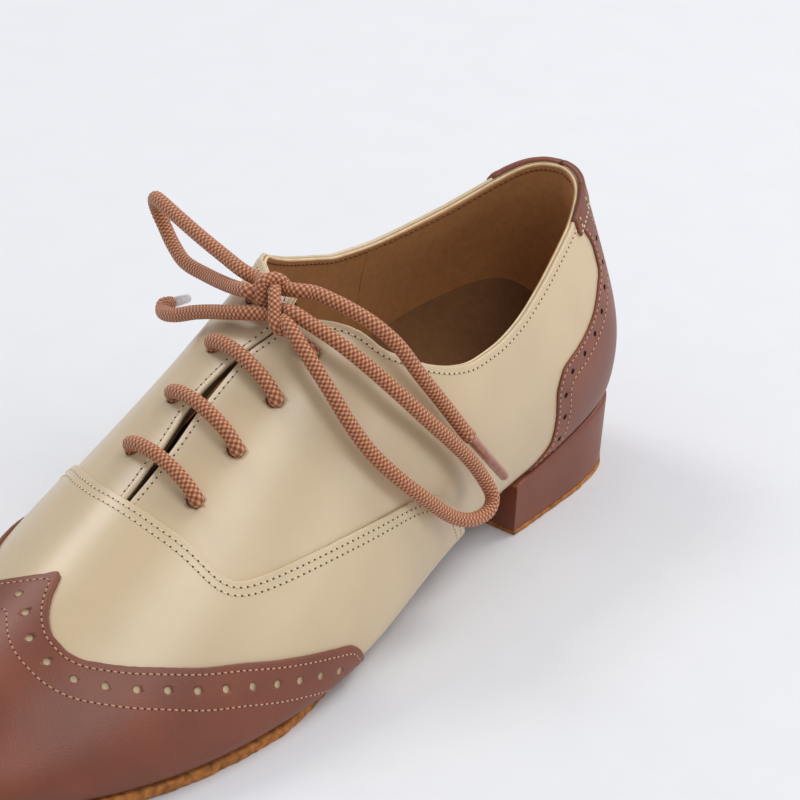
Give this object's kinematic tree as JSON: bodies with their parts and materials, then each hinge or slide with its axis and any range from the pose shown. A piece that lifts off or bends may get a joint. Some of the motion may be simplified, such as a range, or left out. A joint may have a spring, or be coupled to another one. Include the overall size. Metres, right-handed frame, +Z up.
{
  "type": "tap shoe",
  "caption": "Two-tone wing-tip lace-up dance shoe for the left foot, with suede sole, low leather-covered block heel, short hinged tongue and a tied lace.",
  "frame": {"origin": "centre of the bounding box of the shoe without its lace, on the ground plane under the heel and the ball", "axes": "+Z up, -Y towards the toe, +Y towards the heel, +X towards the lateral (outer) side of this left shoe"},
  "size_m": [0.1093, 0.286, 0.1069],
  "materials": {
    "outsole": "brushed suede, matte",
    "heel_top_piece": "brushed suede, matte",
    "heel_block": "bare, matte",
    "heel_cover": "smooth, satin",
    "heel_screw": "dull",
    "heel_nail_1": "dull",
    "heel_nail_2": "dull",
    "heel_nail_3": "dull",
    "heel_nail_4": "dull",
    "insole_board": "matte fibreboard",
    "steel_shank": "dull",
    "bottom_filler": "granular cork, matte",
    "heel_pad": "soft foam",
    "sock_lining": "napped, matte",
    "vamp": "smooth, soft satin",
    "vamp_backer": "impregnated fabric, matte",
    "toe_puff": "impregnated fabric, matte",
    "wing_cap": "smooth, satin",
    "quarter_lateral": "smooth, soft satin",
    "quarter_medial": "smooth, soft satin",
    "vamp_lining": "napped, matte",
    "quarter_lining_lateral": "napped, matte",
    "quarter_lining_medial": "napped, matte",
    "heel_grip_lining": "napped, matte",
    "heel_stiffener": "impregnated fabric, matte",
    "heel_counter": "smooth, satin",
    "collar_band": "smooth, satin",
    "facing_stay_lateral": "impregnated fabric, matte",
    "facing_stay_medial": "impregnated fabric, matte",
    "tongue": "napped, matte",
    "lace_through_eyelets": "round braid, slightly waxed",
    "lace_knot": "round braid, slightly waxed",
    "lace_loop_left": "round braid, slightly waxed",
    "lace_loop_right": "round braid, slightly waxed",
    "lace_end_left": "round braid, slightly waxed",
    "lace_end_right": "round braid, slightly waxed",
    "aglet_left": "clear gloss",
    "aglet_right": "clear gloss"
  },
  "bodies": {
    "shoe": {"outsole": "outsole", "heel_top_piece": "heel_top_piece", "heel_block": "heel_block", "heel_cover": "heel_cover", "heel_screw": "heel_screw", "heel_nail_1": "heel_nail_1", "heel_nail_2": "heel_nail_2", "heel_nail_3": "heel_nail_3", "heel_nail_4": "heel_nail_4", "insole_board": "insole_board", "steel_shank": "steel_shank", "bottom_filler": "bottom_filler", "heel_pad": "heel_pad", "sock_lining": "sock_lining", "vamp": "vamp", "vamp_backer": "vamp_backer", "toe_puff": "toe_puff", "wing_cap": "wing_cap", "quarter_lateral": "quarter_lateral", "quarter_medial": "quarter_medial", "vamp_lining": "vamp_lining", "quarter_lining_lateral": "quarter_lining_lateral", "quarter_lining_medial": "quarter_lining_medial", "heel_grip_lining": "heel_grip_lining", "heel_stiffener": "heel_stiffener", "heel_counter": "heel_counter", "collar_band": "collar_band", "facing_stay_lateral": "facing_stay_lateral", "facing_stay_medial": "facing_stay_medial", "lace_through_eyelets": "lace_through_eyelets", "lace_knot": "lace_knot", "lace_loop_left": "lace_loop_left", "lace_loop_right": "lace_loop_right", "lace_end_left": "lace_end_left", "lace_end_right": "lace_end_right", "aglet_left": "aglet_left", "aglet_right": "aglet_right"},
    "tongue": {"tongue": "tongue"}
  },
  "joints": [
    {"name": "tongue_fold", "type": "hinge", "parent": "shoe", "child": "tongue", "pos_m": [0, -0.0607, 0.052], "axis": [-1, 0, 0], "range_deg": [0, 15], "stiffness_Nm_per_rad": 0.15}
  ]
}
